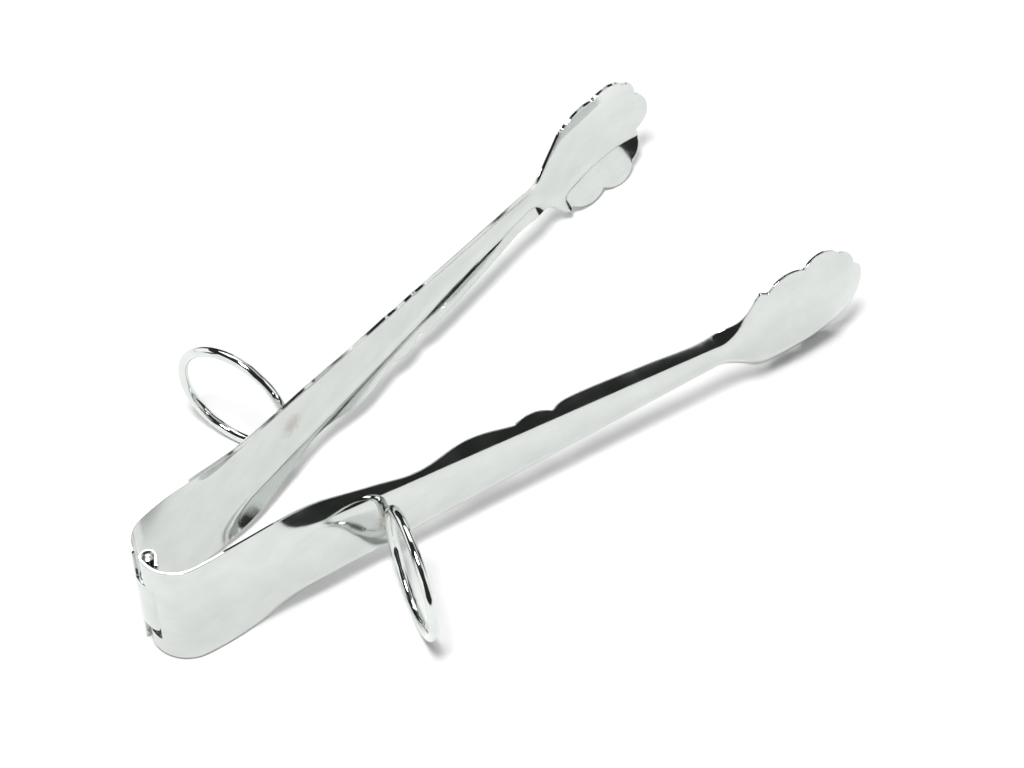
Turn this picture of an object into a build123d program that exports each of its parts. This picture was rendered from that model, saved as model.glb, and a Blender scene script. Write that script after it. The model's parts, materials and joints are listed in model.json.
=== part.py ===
"""Ice tongs: two pressed channel arms on a rolled hinge, with a wire finger ring on each arm.

Sizes are in millimetres. +X runs from the hinge to the claws, +Y to the left and +Z up.
The tongs lie half open on the edges of both arms, so the hinge pin stands upright.

Each arm is designed in its own frame: the pin axis is Z, the web runs along +X, outward is
+Y, and z = 0 is the middle of its height. It is then turned about the pin to its rest angle.
"""
import os
from math import asin, cos, degrees, radians, sin, sqrt, tan

from build123d import *

os.makedirs("parts", exist_ok=True)

# --- Sheet, hinge and rest position ---------------------------------------------------------
sheet = 0.8  # thickness of the stainless sheet
half_height = 14.7  # half the height of an arm at the hinge
mid_height = 15.33  # middle of the arms above the surface, on which the claws' widest lobes rest
web_offset = 8.7  # pin axis to the outer face of the web, and radius of the bend at the back
rest_angle = 10.35  # angle of each web from the X axis, tongs half open
hinge_x, hinge_y = -86.4, 0.3  # pin axis, so that the origin is under the middle of the tongs
pin_radius = 1.25
running_gap = 0.06  # radial clearance of the turning knuckle on the pin
knuckle_radius = pin_radius + sheet
curl_end_angle = 25.0  # the knuckle's curl runs this far past the front of the pin
curl_tail = 3.2  # straight end of the curl, which closes it against the arm
window_edge = 3.4  # an arm is cut back to this distance from the pin beside the other's knuckle
middle_low, middle_high = -9.0, 6.2  # span of the left arm's knuckle
pin_sink = 0.4  # the pin's foot is this far inside the lowest knuckle
head_radius = 1.5  # domed head, peened over the top knuckle
head_height = 0.5
head_curve = 2.5  # radius of the dome
foot_chamfer = 0.3
knuckle_gap = 0.3  # end gap above the middle knuckle
lower_knuckle_gap = 0.9  # end gap below it

# --- Channel of the arm ---------------------------------------------------------------------
bend_centre = web_offset - knuckle_radius  # where the bend at the back meets the web
fold_end = 40.0  # the edges are fully folded in from here on
fold_angle = 41.0  # degrees
web_half_at_fold = 8.9  # half width of the flat web at fold_end
web_taper = 0.062  # loss of half width per millimetre towards the claw
neck_x = 138.0
fold_softness = 1.6  # rounding of the crease between web and edge
hinge_softness = 5.4  # extra rounding where the fold starts
claw_softness = 0.4  # extra rounding in the claw
blank_half = 16.0  # half height of the untrimmed sheet

# --- Claw -----------------------------------------------------------------------------------
claw_flat = 6.6  # the claw's flat middle is wider than the neck by this half width
claw_open_x = 152.0  # where the claw has opened fully
claw_length = 40.0
claw_upper_loss = 24.0  # the claw's upper rim is folded in by this many degrees less
claw_lower_loss = 4.0  # the same for its lower rim, which cups the claw under the ice
claw_rise = 2.1  # how far the claw first swells outwards
claw_hook = 6.1  # how far its tip then bends inwards
tip_x = 178.5

# --- Finger rings ---------------------------------------------------------------------------
wire_radius = 1.2
ring_radius = 13.8  # to the middle of the wire
right_ring_stretch = 1.06  # the right ring is a little longer away from its arm than it is high
left_ring_x = 54.3  # where each ring touches its arm
right_ring_x = 52.6
right_ring_cant = 11.0  # turn of each ring's plane from square across its arm, in degrees
left_ring_cant = 7.0
weld_depth = 0.15  # how far the wire sinks into the braze on the web


def ease(x, start, end):
    """Smooth step from 0 at start to 1 at end."""
    u = min(max((x - start) / (end - start), 0.0), 1.0)
    return u * u * (3 - 2 * u)


def web_half(x):
    """Half width of the flat web, or of the flat middle of the claw."""
    taper = web_half_at_fold - web_taper * (x - fold_end)
    return taper + claw_flat * ease(x, neck_x, claw_open_x)


def softness(x):
    """Width over which the crease is rounded."""
    start = hinge_softness * (1 - ease(x, bend_centre, fold_end))
    return fold_softness + start + claw_softness * ease(x, neck_x, claw_open_x)


def fold_slope(x, z):
    """Slope of the folded edge, which grows from nothing at the hinge and eases in the claw."""
    loss = claw_upper_loss if z > 0 else claw_lower_loss
    angle = fold_angle * ease(x, bend_centre, fold_end) - loss * ease(x, neck_x, claw_open_x)
    return tan(radians(angle))


def crest(x):
    """Outer face on the arm's middle line: straight web, then the hooked claw."""
    u = max(0.0, (x - neck_x) / claw_length)
    return web_offset + claw_rise * u - claw_hook * u**4


def outer_point(x, z):
    """Point (y, z) of the outer face."""
    past_crease = abs(z) - web_half(x)
    at_middle = -web_half(x)
    soft = softness(x)
    fall = (past_crease + sqrt(past_crease**2 + soft**2)) / 2
    fall -= (at_middle + sqrt(at_middle**2 + soft**2)) / 2
    return crest(x) - fold_slope(x, z) * fall, z


def inner_point(x, z):
    """Point (y, z) of the inner face, one sheet thickness in from the outer face."""
    step = 0.01
    slope = (outer_point(x, z + step)[0] - outer_point(x, z - step)[0]) / (2 * step)
    length = sqrt(1 + slope**2)
    y = outer_point(x, z)[0]
    return y - sheet / length, z + sheet * slope / length


def section_heights(x):
    """Heights that carry a section's curve: close together at the creases."""
    half = web_half(x)
    upper = [half / 2, half - 1.1, half, half + 1.1, half + 2.6, blank_half]
    return [-z for z in reversed(upper)] + [0.0] + upper


def channel_section(x):
    """Sketch the arm's cross-section at x, in the plane across the arm."""
    with BuildSketch(Plane.YZ.offset(x)) as section:
        with BuildLine():
            outer = Spline([outer_point(x, z) for z in section_heights(x)])
            inner = Spline([inner_point(x, z) for z in section_heights(x)])
            Line(outer @ 0, inner @ 0)
            Line(outer @ 1, inner @ 1)
        make_face()
    return section.sketch


def trim_outline():
    """Sketch the side view of the pressing, with its scalloped edges."""
    with BuildSketch(Plane.XZ) as outline:
        with BuildLine():
            Polyline((-5, 0), (-5, half_height), (15, half_height))
            Spline((15, half_height), (35, 13.2), (50, 10.9), (62, 9.1), (75, 10.0), (86.5, 8.2))
            ThreePointArc((86.5, 8.2), (91, 8.75), (95.9, 7.4))
            Spline((95.9, 7.4), (101, 8.15), (120, 6.7), (134, 5.5), (143.3, 6.9), (149.6, 13.2))
            Line((149.6, 13.2), (151.2, 12.6))
            ThreePointArc((151.2, 12.6), (155.9, 14.7), (161.3, 13.9))
            ThreePointArc((161.3, 13.9), (166.8, 15.2), (171.3, 12.3))
            ThreePointArc((171.3, 12.3), (174.4, 9.9), (175.5, 6.0))
            ThreePointArc((175.5, 6.0), (177.5, 3.9), (tip_x, 0))
            mirror(about=Plane.XZ)
        make_face()
    return outline.sketch


def bend_sketch(height, start_angle, with_curl):
    """Sketch the sheet's plan at a height: the bend at the back, then the curl round the pin."""
    with BuildSketch(Plane.XY.offset(height)) as plan:
        with BuildLine():
            if with_curl:
                CenterArc((bend_centre, 0), web_offset, start_angle, 180 - start_angle)
                curl = CenterArc((0, 0), knuckle_radius, 180, 180 + curl_end_angle)
                Line(curl @ 1, curl @ 1 + (curl % 1) * curl_tail)
            else:
                CenterArc((bend_centre, 0), web_offset, 90, start_angle - 90)
            offset(amount=sheet, side=Side.LEFT)
        make_face()
    return plan.sketch


def pressed_arm(knuckle_spans, bore_radius):
    """One arm in its own frame, with a curled knuckle over each (low, high) span."""
    window_angle = 180 - degrees(asin(window_edge / web_offset))
    stations = [bend_centre, 12, 18, 24, 30, 36, 42, 52, 64, 76, 88, 100, 112, 124, 133]
    stations += [138, 142, 146, 150, 154, 158, 163, 168, 173, 177, 181]
    with BuildPart() as arm:
        loft([channel_section(x) for x in stations])
        extrude(bend_sketch(-half_height, window_angle, with_curl=False), amount=2 * half_height)
        extrude(trim_outline(), amount=2 * web_offset, both=True, mode=Mode.INTERSECT)
        for low, high in knuckle_spans:
            extrude(bend_sketch(low, window_angle, with_curl=True), amount=high - low)
            with BuildSketch(Plane.XY.offset(low)):
                Circle(bore_radius)
            extrude(amount=high - low, mode=Mode.SUBTRACT)
    return arm.part


pin_foot = mid_height - half_height + pin_sink
top_of_knuckles = mid_height + half_height
hinge = Vector(hinge_x, hinge_y, mid_height)
left_pose = Location(hinge, (0, 0, rest_angle))
right_pose = Location(hinge, (0, 0, -rest_angle))

# --- Left arm: its single knuckle turns on the pin --------------------------------------------
with BuildPart() as left_arm:
    with Locations(left_pose):
        add(pressed_arm([(middle_low, middle_high)], pin_radius + running_gap))

# --- Right arm: two knuckles, above and below, hold the pin tight -----------------------------
with BuildPart() as right_arm:
    with Locations(right_pose):
        spans = [(-half_height, middle_low - lower_knuckle_gap), (middle_high + knuckle_gap, half_height)]
        arm = pressed_arm(spans, pin_radius)
        add(mirror(arm, about=Plane.XZ, mode=Mode.PRIVATE))

# --- Hinge pin: domed over at the top, sunk a little at the foot ------------------------------
with BuildPart() as hinge_pin:
    with BuildSketch(Plane((hinge_x, hinge_y, 0), x_dir=(1, 0, 0), z_dir=(0, -1, 0))):
        with BuildLine():
            foot = Polyline((0, top_of_knuckles), (0, pin_foot), (pin_radius - foot_chamfer, pin_foot))
            side = Line(foot @ 1, (pin_radius, pin_foot + foot_chamfer))
            shank = Line(side @ 1, (pin_radius, top_of_knuckles))
            shoulder = Line(shank @ 1, (head_radius, top_of_knuckles))
            head = RadiusArc(shoulder @ 1, (0, top_of_knuckles + head_height), -head_curve)
            Line(head @ 1, (0, top_of_knuckles))
        make_face()
    revolve(axis=Axis((hinge_x, hinge_y, 0), (0, 0, 1)))


def finger_ring(contact_x, cant, stretch):
    """Closed wire ring standing out from an arm at contact_x, in the arm's frame."""
    turn = radians(cant)
    outward = Vector(-sin(turn), cos(turn), 0)
    contact = Vector(contact_x, web_offset + wire_radius - weld_depth, 0)
    centre = contact + outward * ring_radius * stretch
    with BuildPart() as ring:
        with BuildLine(Plane(centre, outward, (cos(turn), sin(turn), 0))) as loop:
            EllipticalCenterArc((0, 0), ring_radius * stretch, ring_radius, arc_size=360)
        with BuildSketch(Plane(loop.line @ 0, z_dir=loop.line % 0)):
            Circle(wire_radius)
        sweep(path=loop.line)
    return ring.part


with BuildPart() as left_finger_ring:
    with Locations(left_pose):
        add(finger_ring(left_ring_x, left_ring_cant, 1))

with BuildPart() as right_finger_ring:
    with Locations(right_pose):
        ring = finger_ring(right_ring_x, right_ring_cant, right_ring_stretch)
        add(mirror(ring, about=Plane.XZ, mode=Mode.PRIVATE))

left_arm.part.label = "left_arm"
export_step(left_arm.part, "parts/left_arm.step")

right_arm.part.label = "right_arm"
export_step(right_arm.part, "parts/right_arm.step")

hinge_pin.part.label = "hinge_pin"
export_step(hinge_pin.part, "parts/hinge_pin.step")

left_finger_ring.part.label = "left_finger_ring"
export_step(left_finger_ring.part, "parts/left_finger_ring.step")

right_finger_ring.part.label = "right_finger_ring"
export_step(right_finger_ring.part, "parts/right_finger_ring.step")
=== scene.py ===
"""Ice tongs: the looks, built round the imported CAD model.

The two arms are rebuilt as polished sheet with rounded edges, and the finger rings as smooth wire.
They stand for their CAD nodes. The pin is the CAD node, with a better material, and a mound of braze
is added under each ring. Sizes are in metres.

An arm is shaped in its own frame: the pin axis is Z, the web runs along +X, outward is +Y, and
z = 0 is the middle of its height.
"""
import json
from math import asin, atan2, ceil, cos, hypot, pi, radians, sin, sqrt, tan

import bpy
from mathutils import Matrix, Vector


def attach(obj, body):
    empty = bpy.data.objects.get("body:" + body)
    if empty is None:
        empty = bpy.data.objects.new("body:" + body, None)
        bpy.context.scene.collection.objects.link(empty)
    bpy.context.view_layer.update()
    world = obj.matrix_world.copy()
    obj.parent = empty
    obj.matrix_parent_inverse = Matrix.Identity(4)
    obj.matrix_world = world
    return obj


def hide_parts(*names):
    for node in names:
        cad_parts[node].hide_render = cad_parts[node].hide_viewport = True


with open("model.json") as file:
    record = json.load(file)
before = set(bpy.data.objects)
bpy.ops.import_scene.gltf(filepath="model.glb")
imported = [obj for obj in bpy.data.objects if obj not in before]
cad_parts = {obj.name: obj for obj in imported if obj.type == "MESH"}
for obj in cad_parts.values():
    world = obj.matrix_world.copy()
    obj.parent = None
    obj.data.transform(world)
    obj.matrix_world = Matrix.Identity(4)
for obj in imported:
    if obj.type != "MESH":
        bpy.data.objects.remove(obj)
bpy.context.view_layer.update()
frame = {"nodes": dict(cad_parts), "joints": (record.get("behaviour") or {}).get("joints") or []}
scene = bpy.context.scene
MM = 0.001
pin_axis = Vector(frame["joints"][0]["pos_m"])  # on the hinge's axis, at the middle of the arms

# --- Sheet, as in the CAD model ---------------------------------------------------------------
sheet = 0.8 * MM
edge_radius = 0.15 * MM  # rounding of the polished edges
half_height = 14.7 * MM
web_offset = 8.7 * MM
rest_angle = radians(10.35)
pin_radius = 1.25 * MM
running_gap = 0.06 * MM  # radial clearance of the left arm's knuckle, which turns on the pin
knuckle_radius = pin_radius + sheet
bend_centre = web_offset - knuckle_radius
curl_angle = radians(205)
curl_tail = 3.2 * MM
window_edge = 3.4 * MM
fold_end = 40 * MM
fold_angle = radians(41)
web_half_at_fold = 8.9 * MM
web_taper = 0.062
neck_x = 138 * MM
fold_softness = 1.6 * MM
hinge_softness = 5.4 * MM
claw_softness = 0.4 * MM
claw_flat = 6.6 * MM
claw_open_x = 152 * MM
claw_length = 40 * MM
claw_upper_loss = radians(24)
claw_lower_loss = radians(4)
claw_rise = 2.1 * MM
claw_hook = 6.1 * MM
tip_x = 178.5 * MM
wire_radius = 1.2 * MM
ring_radius = 13.8 * MM
weld_depth = 0.15 * MM
bend_length = web_offset * pi / 2  # along the sheet, from the web to the back of the pin
curl_length = knuckle_radius * curl_angle

# --- Mesh of an arm ---------------------------------------------------------------------------
half_columns = 16  # columns of faces on each side of the middle line
web_columns = 11  # how many of them are on the web
step = 1.0 * MM  # spacing of rows along the arm
fine_step = 0.45 * MM  # the same round the bend and along the scalloped edge
fan_start = 161.3 * MM  # past here the rows turn about the claw's middle, to meet at its tip
fan_end = 172 * MM


def ease(x, start, end):
    """Smooth step from 0 at start to 1 at end."""
    u = min(max((x - start) / (end - start), 0.0), 1.0)
    return u * u * (3 - 2 * u)


def web_half(x):
    """Half width of the flat web, or of the flat middle of the claw."""
    taper = web_half_at_fold - web_taper * (x - fold_end)
    return taper + claw_flat * ease(x, neck_x, claw_open_x)


def outer_y(x, z):
    """Outer face of the pressed sheet in front of the bend."""
    opened = ease(x, neck_x, claw_open_x)
    folded = ease(x, bend_centre, fold_end)
    loss = claw_upper_loss if z > 0 else claw_lower_loss
    slope = tan(fold_angle * folded - loss * opened)
    soft = fold_softness + hinge_softness * (1 - folded) + claw_softness * opened
    past = abs(z) - web_half(x)
    middle = -web_half(x)
    fall = (past + hypot(past, soft) - middle - hypot(middle, soft)) / 2
    u = max(0.0, (x - neck_x) / claw_length)
    return web_offset + claw_rise * u - claw_hook * u**4 - slope * fall


def sheet_centre_line(s, z, depth):
    """Point at s along the sheet and z across it, ignoring the offset square to a folded edge."""
    if s >= 0:
        return Vector((bend_centre + s, outer_y(bend_centre + s, z) - depth, z))
    if s >= -bend_length:
        angle, radius = pi / 2 - s / web_offset, web_offset - depth
        return Vector((bend_centre + radius * cos(angle), radius * sin(angle), z))
    turned = -(s + bend_length)
    angle = pi + min(turned, curl_length) / knuckle_radius
    radius = knuckle_radius - depth
    tail = max(0.0, turned - curl_length)
    return Vector((radius * cos(angle) - tail * sin(angle), radius * sin(angle) + tail * cos(angle), z))


def sheet_frame(s, z):
    """Outward normal of the sheet and its unit directions along s and z."""
    d = 0.02 * MM
    along = (sheet_centre_line(s + d, z, 0) - sheet_centre_line(s - d, z, 0)).normalized()
    across = (sheet_centre_line(s, z + d, 0) - sheet_centre_line(s, z - d, 0)).normalized()
    return across.cross(along).normalized(), along, across


def smooth_curve(points, spacing):
    """Points along a Catmull-Rom curve through points, without the last one."""
    ends = [points[0] * 2 - points[1]] + points + [points[-1] * 2 - points[-2]]
    result = []
    for a, b, c, d in zip(ends, ends[1:], ends[2:], ends[3:]):
        count = max(1, ceil((c - b).length / spacing))
        for t in (i / count for i in range(count)):
            result.append(0.5 * (2 * b + (c - a) * t + (2 * a - 5 * b + 4 * c - d) * t * t
                                 + (3 * b - a - 3 * c + d) * t**3))
    return result


def arc(a, b, c, spacing):
    """Points along the arc from a through b to c, without c."""
    d = 2 * (a.x * (b.y - c.y) + b.x * (c.y - a.y) + c.x * (a.y - b.y))
    aa, bb, cc = a.length_squared, b.length_squared, c.length_squared
    centre = Vector(((aa * (b.y - c.y) + bb * (c.y - a.y) + cc * (a.y - b.y)) / d,
                     (aa * (c.x - b.x) + bb * (a.x - c.x) + cc * (b.x - a.x)) / d))
    radius = (a - centre).length
    first = atan2(a.y - centre.y, a.x - centre.x)
    last = atan2(c.y - centre.y, c.x - centre.x)
    if last > first:
        last -= 2 * pi
    count = max(2, ceil(radius * (first - last) / spacing))
    angles = [first + (last - first) * i / count for i in range(count)]
    return [centre + radius * Vector((cos(t), sin(t))) for t in angles]


def side_outline():
    """Upper edge of the pressing as (x, z), from the square hinge end to the tip."""
    def at(*pairs):
        return [Vector(p) * MM for p in pairs]

    edge = smooth_curve(at((15, 14.7), (35, 13.2), (50, 10.9), (62, 9.1), (75, 10.0), (86.5, 8.2)), step)
    edge += arc(*at((86.5, 8.2), (91, 8.75), (95.9, 7.4)), fine_step)
    edge += smooth_curve(at((95.9, 7.4), (101, 8.15), (120, 6.7), (134, 5.5), (143.3, 6.9), (149.6, 13.2)),
                         step)
    edge += smooth_curve(at((149.6, 13.2), (151.2, 12.6)), fine_step)
    edge += arc(*at((151.2, 12.6), (155.9, 14.7), (161.3, 13.9)), fine_step)
    edge += arc(*at((161.3, 13.9), (166.8, 15.2), (171.3, 12.3)), fine_step)
    edge += arc(*at((171.3, 12.3), (174.4, 9.9), (175.5, 6.0)), fine_step)
    edge += arc(*at((175.5, 6.0), (177.5, 3.9), (178.5, 0)), fine_step)
    return edge + [Vector((tip_x, 0))]


def hinge_columns(spans):
    """Heights of the columns at the hinge, evenly spaced but for lines at the knuckles' ends."""
    heights = [half_height * j / half_columns for j in range(-half_columns, half_columns + 1)]
    for height in (h for span in spans for h in span):
        nearest = min(range(len(heights)), key=lambda j: abs(heights[j] - height))
        heights[nearest] = height
    return heights


def column_share(j, x, half):
    """How far column j is from the middle line to the edge: a line of columns keeps to the crease."""
    crease = min(max(web_half(x) / half, 0.3), 0.84) if half > 0 else 0.84
    n = abs(j)
    if n <= web_columns:
        share = crease * n / web_columns
    else:
        share = crease + (1 - crease) * ((n - web_columns) / (half_columns - web_columns)) ** 1.15
    return share if j >= 0 else -share


def flat_rows(spans):
    """Rows of (s, z) points on the flat sheet, from the end of the curl to the tip."""
    heights = hinge_columns(spans)
    rows = []
    s = -(bend_length + curl_length + curl_tail)
    window = -(bend_length - web_offset * asin(window_edge / web_offset))
    stops = [-(bend_length + curl_length), -bend_length, window, 0.0, 15 * MM - bend_centre]
    for stop, spacing in zip(stops, (curl_tail / 2, fine_step, fine_step, fine_step, step)):
        count = max(1, ceil((stop - s) / spacing - 1e-6))
        rows += [[(s + (stop - s) * i / count, z) for z in heights] for i in range(count)]
        s = stop
    edge = side_outline()
    lengths = [0.0]
    for a, b in zip(edge, edge[1:]):
        lengths.append(lengths[-1] + ((b - a).length if a.x >= fan_start - 1e-9 else 0.0))
    for point, length in zip(edge, lengths):
        middle = min(point.x, fan_start) + (fan_end - fan_start) * length / lengths[-1]
        creased = ease(point.x, bend_centre, 30 * MM)
        row = []
        for j in range(-half_columns, half_columns + 1):
            share = column_share(j, point.x, point.y)
            even = heights[j + half_columns] / half_height
            share = creased * share + (1 - creased) * even
            x = middle + abs(share) * (point.x - middle)
            row.append((x - bend_centre, share * point.y))
        rows.append(row)
    return rows, window


def in_place(side):
    """Matrix from an arm's frame to the tongs. Side is 1 for the left arm and -1 for the right."""
    turn = Matrix.Rotation(side * rest_angle, 4, "Z")
    return Matrix.Translation(pin_axis) @ turn @ Matrix.Diagonal((1, side, 1, 1))


def sheet_mesh(name, spans, side, weld_x, bore_radius):
    """Closed mesh of one arm with rounded edges, bored for the pin, its ring brazed on at weld_x."""
    rows, window = flat_rows(spans)
    columns = 2 * half_columns + 1
    last = len(rows) - 1

    def key(i, j):
        return (i, columns - 1 - j) if i == last and j > half_columns else (i, j)

    def kept(i, j):
        low, high = rows[i][j][1], rows[i][j + 1][1]
        in_knuckle = any(low >= a - 1e-9 and high <= b + 1e-9 for a, b in spans)
        return rows[i][j][0] >= window - 1e-9 or in_knuckle

    quads = []
    for i in range(last):
        for j in range(columns - 1):
            if kept(i, j):
                quads.append([key(i, j), key(i, j + 1), key(i + 1, j + 1), key(i + 1, j)])
    uses = {}
    for quad in quads:
        for a, b in zip(quad, quad[1:] + quad[:1]):
            uses.setdefault(frozenset((a, b)), []).append((a, b))
    rim = [pairs[0] for pairs in uses.values() if len(pairs) == 1]
    inward = {}
    for a, b in rim:
        pa, pb = Vector(rows[a[0]][a[1]]), Vector(rows[b[0]][b[1]])
        direction = (pb - pa).normalized()
        normal = Vector((direction.y, -direction.x))
        for k in (a, b):
            inward.setdefault(k, []).append(normal)
    for k, normals in inward.items():
        total = sum(normals, Vector((0, 0)))
        inward[k] = total / max(0.45, 1 + normals[0].dot(normals[-1]))

    vertices, normals, weld_offsets = [], [], []
    to_tongs = in_place(side)
    turn = to_tongs.to_3x3()
    index = {}
    # Six layers round the edge, three to each face: how far in from the rim and below the face, in
    # edge radii, then the normal's share of the sheet's own normal and of the way out.
    shallow = 1 - sqrt(0.5)
    layers = [(1, 0, 1, 0), (shallow, shallow, 1, 1), (0, 1, 0, 1), (0, 1, 0, 1),
              (shallow, shallow, -1, 1), (1, 0, -1, 0)]

    def add_vertex(k, layer):
        if (k, layer) in index:
            return index[(k, layer)]
        s, z = rows[k[0]][k[1]]
        inset, sunk, up, out = layers[layer]
        depth = sheet - sunk * edge_radius if layer >= 3 else sunk * edge_radius
        normal, along, across = sheet_frame(s, z)
        direction = normal * up
        if k in inward:
            n = inward[k]
            s, z = s + n.x * inset * edge_radius, z + n.y * inset * edge_radius
            outward = -(along * n.x + across * n.y).normalized()
            direction = (normal * up + outward * out).normalized()
        point = sheet_centre_line(s, z, 0) - normal * depth
        if s < -bend_length:
            point = sheet_centre_line(s, z, depth)
        from_pin = Vector((point.x, point.y, 0))
        if from_pin.length < bore_radius:
            point += from_pin.normalized() * (bore_radius - from_pin.length)
        index[(k, layer)] = len(vertices)
        vertices.append(to_tongs @ point)
        normals.append(turn @ direction)
        weld_offsets.append((s + bend_centre - weld_x, z, depth))
        return index[(k, layer)]

    faces = []
    for quad in quads:
        corners = [k for n, k in enumerate(quad) if k != quad[n - 1]]
        faces.append([add_vertex(k, 0) for k in corners])
        faces.append([add_vertex(k, 5) for k in reversed(corners)])
    for a, b in rim:
        for layer in range(5):
            faces.append([add_vertex(b, layer), add_vertex(a, layer),
                          add_vertex(a, layer + 1), add_vertex(b, layer + 1)])
    if side < 0:
        faces = [list(reversed(face)) for face in faces]
    mesh = bpy.data.meshes.new(name)
    mesh.from_pydata(vertices, [], faces)
    mesh.shade_smooth()
    mesh.normals_split_custom_set_from_vertices(normals)
    from_weld = mesh.attributes.new("from_weld", "FLOAT_VECTOR", "POINT")
    from_weld.data.foreach_set("vector", [value for offset in weld_offsets for value in offset])
    return mesh


def closed_tube(name, side, loop, radius, points_round):
    """Ring of round wire along a closed loop of (point, tangent) pairs in an arm's frame."""
    to_tongs = in_place(side)
    vertices, normals, faces = [], [], []
    count = len(loop)
    for i, (centre, tangent) in enumerate(loop):
        first = tangent.orthogonal().normalized() if i == 0 else first
        first = (first - tangent * first.dot(tangent)).normalized()
        second = tangent.cross(first)
        for j in range(points_round):
            a = 2 * pi * j / points_round
            direction = first * cos(a) + second * sin(a)
            vertices.append(to_tongs @ (centre + direction * radius))
            normals.append(to_tongs.to_3x3() @ direction)
            quad = (i * points_round + j, i * points_round + (j + 1) % points_round)
            ahead = ((i + 1) % count) * points_round
            quad += (ahead + (j + 1) % points_round, ahead + j)
            faces.append(quad[::-1] if side < 0 else quad)
    mesh = bpy.data.meshes.new(name)
    mesh.from_pydata(vertices, [], faces)
    mesh.shade_smooth()
    mesh.normals_split_custom_set_from_vertices(normals)
    return mesh


def ring_loop(contact_x, cant, stretch):
    """Middle line of a finger ring that stands out from its arm at contact_x."""
    outward = Vector((-sin(cant), cos(cant), 0))
    reach = ring_radius * stretch
    centre = Vector((contact_x, web_offset + wire_radius - weld_depth, 0)) + outward * reach
    loop = []
    for a in (2 * pi * i / 120 for i in range(120)):
        point = centre + outward * reach * cos(a) + Vector((0, 0, ring_radius * sin(a)))
        tangent = Vector((0, 0, ring_radius * cos(a))) - outward * reach * sin(a)
        loop.append((point, tangent.normalized()))
    return loop


def braze_mesh(name, side, contact_x):
    """Small hollow-sided mound of braze where a ring meets its web."""
    half_x, half_z, height, sunk = 2.1 * MM, 3.3 * MM, 1.3 * MM, 0.1 * MM
    round_count, rise_count = 40, 8
    to_tongs = in_place(side)
    vertices, faces = [], []
    for i in range(rise_count):
        share = 1 - i / rise_count
        for j in range(round_count):
            a = 2 * pi * j / round_count
            ragged = 1 + 0.05 * sin(3 * a + 1) + 0.04 * sin(5 * a)
            x, z = contact_x + half_x * share * ragged * cos(a), half_z * share * ragged * sin(a)
            vertices.append(to_tongs @ Vector((x, outer_y(x, z) - sunk + height * (1 - share)**1.7, z)))
            if i:
                low, ahead = (i - 1) * round_count, (j + 1) % round_count
                quad = (low + j, low + ahead, i * round_count + ahead, i * round_count + j)
                faces.append(quad if side < 0 else quad[::-1])
    vertices.append(to_tongs @ Vector((contact_x, outer_y(contact_x, 0) - sunk + height, 0)))
    last = (rise_count - 1) * round_count
    for j in range(round_count):
        fan = (last + j, last + (j + 1) % round_count, len(vertices) - 1)
        faces.append(fan if side < 0 else fan[::-1])
    bottom = tuple(range(round_count))
    faces.append(bottom[::-1] if side < 0 else bottom)
    mesh = bpy.data.meshes.new(name)
    mesh.from_pydata(vertices, [], faces)
    mesh.shade_smooth()
    return mesh


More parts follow.
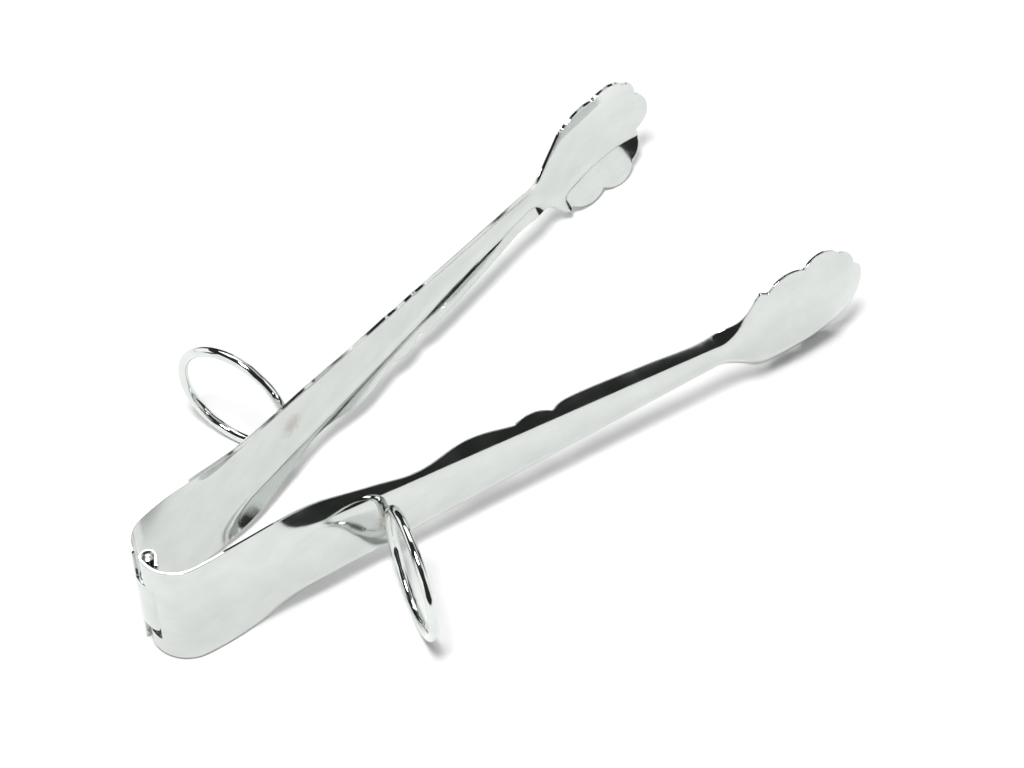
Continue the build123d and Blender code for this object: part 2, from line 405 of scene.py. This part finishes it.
# --- Materials --------------------------------------------------------------------------------
def steel(name, colour, roughness, grain, heat=0.0):
    """Polished stainless steel: mop grain, cloudy smudges, hairline wear and heat tint by the braze.

    Grain gives the pattern's scale along and across the piece. Heat is the strength of the tint.
    """
    material = bpy.data.materials.new(name)
    material.use_nodes = True
    nodes, links = material.node_tree.nodes, material.node_tree.links
    shader = nodes["Principled BSDF"]
    shader.inputs["Metallic"].default_value = 1.0
    if heat:
        attribute = nodes.new("ShaderNodeAttribute")
        attribute.attribute_name = "from_weld"
        position = attribute.outputs["Vector"]
    else:
        position = nodes.new("ShaderNodeTexCoord").outputs["Object"]

    def noise(scale, detail):
        mapping = nodes.new("ShaderNodeMapping")
        mapping.inputs["Scale"].default_value = scale
        texture = nodes.new("ShaderNodeTexNoise")
        texture.inputs["Scale"].default_value = 1.0
        texture.inputs["Detail"].default_value = detail
        links.new(position, mapping.inputs["Vector"])
        links.new(mapping.outputs["Vector"], texture.inputs["Vector"])
        return texture.outputs["Fac"]

    def spread(value, from_low, from_high, low, high):
        node = nodes.new("ShaderNodeMapRange")
        node.interpolation_type = "SMOOTHSTEP"
        for socket, number in zip(node.inputs[1:5], (from_low, from_high, low, high)):
            socket.default_value = number
        links.new(value, node.inputs["Value"])
        return node.outputs["Result"]

    def combine(operation, first, second):
        node = nodes.new("ShaderNodeMath")
        node.operation = operation
        links.new(first, node.inputs[0])
        links.new(second, node.inputs[1])
        return node.outputs["Value"]

    clouds = noise((130, 170, 170), 5.0)
    specks = noise((900, 1300, 1300), 3.0)
    mop_grain = noise(grain, 4.0)
    hairlines = spread(noise((25, 3800, 3800), 2.0), 0.64, 0.72, 0.0, 1.0)

    gloss = combine("ADD", spread(clouds, 0.36, 0.68, roughness * 0.7, roughness * 1.5),
                    spread(specks, 0.58, 0.8, 0.0, roughness * 0.8))
    gloss = combine("ADD", gloss, spread(hairlines, 0.0, 1.0, 0.0, roughness * 0.6))
    tone = combine("MULTIPLY", spread(clouds, 0.3, 0.7, 0.96, 1.025),
                   spread(mop_grain, 0.3, 0.7, 0.985, 1.01))
    tone = combine("MULTIPLY", tone, spread(specks, 0.62, 0.82, 1.0, 0.9))
    tinted = nodes.new("ShaderNodeVectorMath")
    tinted.operation = "SCALE"
    tinted.inputs["Vector"].default_value = colour
    links.new(tone, tinted.inputs["Scale"])
    surface = tinted.outputs["Vector"]

    if heat:
        distance = nodes.new("ShaderNodeVectorMath")
        distance.operation = "LENGTH"
        links.new(position, distance.inputs[0])
        ragged = combine("ADD", distance.outputs["Value"], spread(specks, 0.3, 0.7, -0.0008, 0.0008))
        scorch = spread(ragged, 0.0005, 0.0042, heat, 0.0)
        stain = nodes.new("ShaderNodeMix")
        stain.data_type = "RGBA"
        links.new(scorch, stain.inputs["Factor"])
        links.new(surface, stain.inputs["A"])
        stain.inputs["B"].default_value = (0.36, 0.31, 0.27, 1)
        surface = stain.outputs["Result"]
        gloss = combine("ADD", gloss, spread(ragged, 0.001, 0.005, 0.16, 0.0))
    links.new(surface, shader.inputs["Base Color"])
    links.new(gloss, shader.inputs["Roughness"])

    fine = nodes.new("ShaderNodeBump")
    fine.inputs["Strength"].default_value = 0.12
    fine.inputs["Distance"].default_value = 0.00003
    links.new(mop_grain, fine.inputs["Height"])
    wavy = nodes.new("ShaderNodeBump")
    wavy.inputs["Strength"].default_value = 0.25
    wavy.inputs["Distance"].default_value = 0.00006
    links.new(clouds, wavy.inputs["Height"])
    links.new(wavy.outputs["Normal"], fine.inputs["Normal"])
    links.new(fine.outputs["Normal"], shader.inputs["Normal"])
    return material


sheet_steel = steel("polished_sheet", (0.635, 0.66, 0.64), 0.08, (220, 1500, 1500), heat=0.55)
wire_steel = steel("polished_wire", (0.7, 0.725, 0.705), 0.06, (1200, 1200, 1200))
pin_steel = steel("drawn_pin", (0.68, 0.69, 0.675), 0.3, (1800, 1800, 300))
braze_metal = steel("braze", (0.42, 0.4, 0.36), 0.3, (2500, 2500, 2500))

# --- Arms, rings and pin ----------------------------------------------------------------------
left_knuckles = [(-9.0 * MM, 6.2 * MM)]
right_knuckles = [(-half_height, -9.9 * MM), (6.5 * MM, half_height)]


def add_piece(name, mesh, material, body, node=""):
    """Put a mesh in the scene, riding on a body, and standing for a CAD node if one is given."""
    mesh.materials.append(material)
    piece = bpy.data.objects.new(name, mesh)
    scene.collection.objects.link(piece)
    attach(piece, body)
    if node:
        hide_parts(node)


for side, hand, knuckles, bore_radius, contact_x, cant, stretch in (
        (1, "left", left_knuckles, pin_radius + running_gap, 54.3 * MM, radians(7), 1.0),
        (-1, "right", right_knuckles, pin_radius, 52.6 * MM, radians(11), 1.06)):
    body = hand + "_half"
    arm = sheet_mesh(hand + "_arm_sheet", knuckles, side, contact_x, bore_radius)
    add_piece(hand + "_arm_sheet", arm, sheet_steel, body, hand + "_arm")
    ring = closed_tube(hand + "_ring_wire", side, ring_loop(contact_x, cant, stretch), wire_radius, 28)
    add_piece(hand + "_ring_wire", ring, wire_steel, body, hand + "_finger_ring")
    braze = braze_mesh(hand + "_braze", side, contact_x)
    add_piece(hand + "_braze", braze, braze_metal, body)

for slot in frame["nodes"]["hinge_pin"].material_slots:
    slot.material = pin_steel

# --- Camera -----------------------------------------------------------------------------------
camera_yaw = radians(-37.34)
camera_elevation = radians(49.58)
camera_roll = radians(-4.63)
camera_distance = 0.9632
target = pin_axis + Vector((0.09534, -0.00713, 0))
back = Vector((sin(camera_yaw) * cos(camera_elevation), -cos(camera_yaw) * cos(camera_elevation),
               sin(camera_elevation)))
level_right = Vector((cos(camera_yaw), sin(camera_yaw), 0))
right = cos(camera_roll) * level_right + sin(camera_roll) * back.cross(level_right)
up = back.cross(right)
camera = bpy.data.objects.new("camera", bpy.data.cameras.new("camera"))
camera.data.sensor_width = 36.0
camera.data.lens = 151.97
camera.data.clip_start = 0.01
camera.matrix_world = Matrix.Translation(target + camera_distance * back) @ Matrix(
    (right, up, back)).transposed().to_4x4()
scene.collection.objects.link(camera)
scene.camera = camera

# --- Studio -----------------------------------------------------------------------------------
floor_half = 2.5
floor_mesh = bpy.data.meshes.new("floor")
corners = [(-floor_half, -floor_half, 0), (floor_half, -floor_half, 0), (floor_half, floor_half, 0),
           (-floor_half, floor_half, 0)]
floor_mesh.from_pydata(corners, [], [(0, 1, 2, 3)])
floor = bpy.data.objects.new("floor", floor_mesh)
scene.collection.objects.link(floor)
paper = bpy.data.materials.new("paper")
paper.use_nodes = True
paper.node_tree.nodes["Principled BSDF"].inputs["Base Color"].default_value = (0.9, 0.9, 0.9, 1)
paper.node_tree.nodes["Principled BSDF"].inputs["Roughness"].default_value = 0.9
floor_mesh.materials.append(paper)


def softbox(name, azimuth, elevation, distance, width, height, power):
    """Area light facing the tongs. Azimuth 0 is towards +X and 90 towards +Y."""
    a, e = radians(azimuth), radians(elevation)
    direction = Vector((cos(a) * cos(e), sin(a) * cos(e), sin(e)))
    light = bpy.data.lights.new(name, "AREA")
    light.shape = "RECTANGLE"
    light.size, light.size_y = width, height
    light.energy = power
    lamp = bpy.data.objects.new(name, light)
    lamp.location = direction * distance
    lamp.rotation_euler = direction.to_track_quat("Z", "Y").to_euler()
    scene.collection.objects.link(lamp)


# The steel mirrors these panels, and is dark where it mirrors the gaps between them.
softbox("key", -145, 74, 1.5, 0.42, 0.42, 19.5)
softbox("top_panel", 62, 60, 1.5, 1.0, 0.8, 7)
softbox("front_right_panel", -51, 21, 1.5, 1.12, 1.1, 4.3)
softbox("rim_panel", -15, 56, 1.5, 1.7, 0.6, 2.2)
softbox("far_panel", 30, 19, 1.8, 0.6, 0.6, 1.5)
softbox("back_panel", 118, 15, 1.8, 1.7, 0.9, 6)
softbox("left_panel", 178, 16, 1.8, 1.4, 0.9, 5)
softbox("right_panel", 5, 12, 1.8, 0.7, 0.5, 1.4)

# White behind the tongs, and almost dark in what they mirror.
world = bpy.data.worlds.new("studio")
world.use_nodes = True
sky = world.node_tree.nodes["Background"]
seen = world.node_tree.nodes.new("ShaderNodeLightPath")
backdrop = world.node_tree.nodes.new("ShaderNodeMapRange")
backdrop.inputs["To Min"].default_value = 0.03
backdrop.inputs["To Max"].default_value = 1.0
world.node_tree.links.new(seen.outputs["Is Camera Ray"], backdrop.inputs["Value"])
world.node_tree.links.new(backdrop.outputs["Result"], sky.inputs["Strength"])
sky.inputs["Color"].default_value = (0.95, 1.0, 0.96, 1)
scene.world = world
scene.view_settings.view_transform = "Standard"
